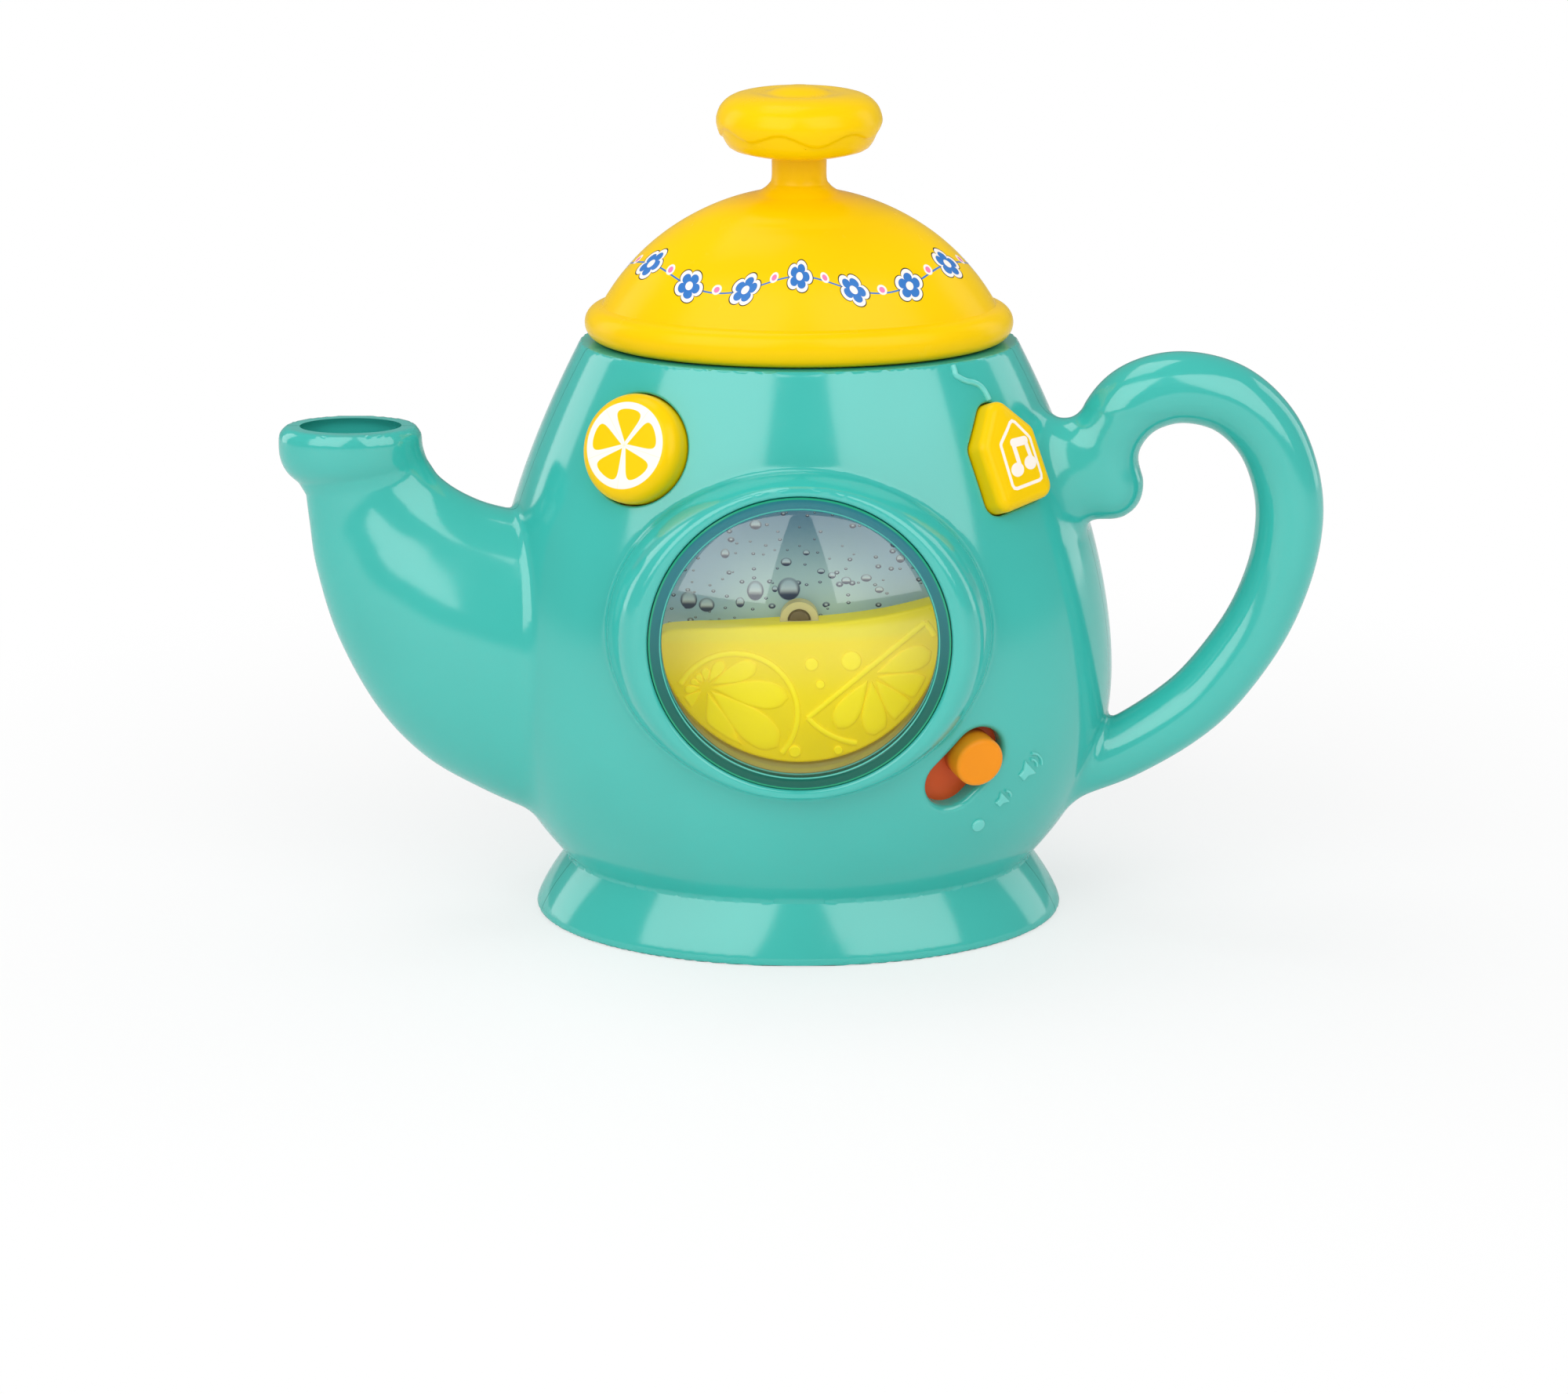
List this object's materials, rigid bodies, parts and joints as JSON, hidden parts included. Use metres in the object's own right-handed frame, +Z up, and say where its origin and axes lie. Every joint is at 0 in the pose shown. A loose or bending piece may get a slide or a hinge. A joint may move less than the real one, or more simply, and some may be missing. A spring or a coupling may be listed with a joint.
{
  "type": "toy teapot",
  "caption": "Toy teapot with a flared oval foot, curved spout, curl handle, lift-off domed lid, round wave window, two press buttons and a volume slider.",
  "frame": {"origin": "middle of the foot on the table", "axes": "+Z up, +X towards the handle, -Y towards the front with the window"},
  "size_m": [0.2441, 0.1208, 0.1988],
  "materials": {
    "teal_shell": "gloss",
    "teal_base": "satin",
    "yellow_gloss": "gloss",
    "orange_gloss": "gloss",
    "wave_clear_yellow": "translucent",
    "lens_clear": "clear",
    "white_plastic": "satin",
    "droplet_print": "printed",
    "brown_plastic": "satin",
    "screw_steel": "zinc plated",
    "contact_steel": "nickel plated",
    "cell_wrap": "printed sleeve",
    "board_green": "solder mask",
    "diode_clear": "clear",
    "dome_rubber": "matte",
    "black_plastic": "matte",
    "cone_paper": "paper"
  },
  "bodies": {
    "pot": {"front_shell": "teal_shell", "rear_shell": "teal_shell", "top_well": "teal_shell", "base_plate": "teal_base", "battery_door": "teal_base", "door_screw": "screw_steel", "batteries": "cell_wrap", "contact_plates": "contact_steel", "contact_springs": "contact_steel", "base_screws": "screw_steel", "shell_screws": "screw_steel", "window_lens": "lens_clear", "window_drum": "white_plastic", "drum_screws": "screw_steel", "droplet_panel": "droplet_print", "light_board": "board_green", "light_diode": "diode_clear", "lemon_dome": "dome_rubber", "lemon_board": "board_green", "teabag_dome": "dome_rubber", "teabag_board": "board_green", "board_screws": "screw_steel", "switch_board": "board_green", "slide_switch": "black_plastic", "main_board": "board_green", "sound_chip": "black_plastic", "speaker_frame": "contact_steel", "speaker_cone": "cone_paper", "speaker_magnet": "black_plastic", "speaker_screws": "screw_steel"},
    "lid": {"lid_dome": "yellow_gloss", "lid_knob": "yellow_gloss", "lid_liner": "yellow_gloss", "lid_screw": "screw_steel"},
    "lemon": {"lemon_button": "yellow_gloss"},
    "teabag": {"teabag_button": "yellow_gloss"},
    "volume": {"volume_slider": "orange_gloss"},
    "wave": {"wave_plate": "wave_clear_yellow", "pivot_pin": "brown_plastic"}
  },
  "joints": [
    {"name": "lid_lift", "type": "slide", "parent": "pot", "child": "lid", "axis": [0, 0, 1], "range_m": [0, 0.06]},
    {"name": "lemon_press", "type": "slide", "parent": "pot", "child": "lemon", "axis": [0.4694, 0.8211, -0.3246], "range_m": [0, 0.0024], "stiffness_N_per_m": 600, "springref_m": -0.0008},
    {"name": "teabag_press", "type": "slide", "parent": "pot", "child": "teabag", "axis": [-0.61, 0.7192, -0.3326], "range_m": [0, 0.0024], "stiffness_N_per_m": 600, "springref_m": -0.0008},
    {"name": "volume_slide", "type": "slide", "parent": "pot", "child": "volume", "axis": [0.686, 0.1963, 0.7006], "range_m": [-0.0065, 0]},
    {"name": "wave_swing", "type": "hinge", "parent": "pot", "child": "wave", "pos_m": [0, -0.035, 0.0817], "axis": [0, 1, 0], "continuous": true}
  ]
}
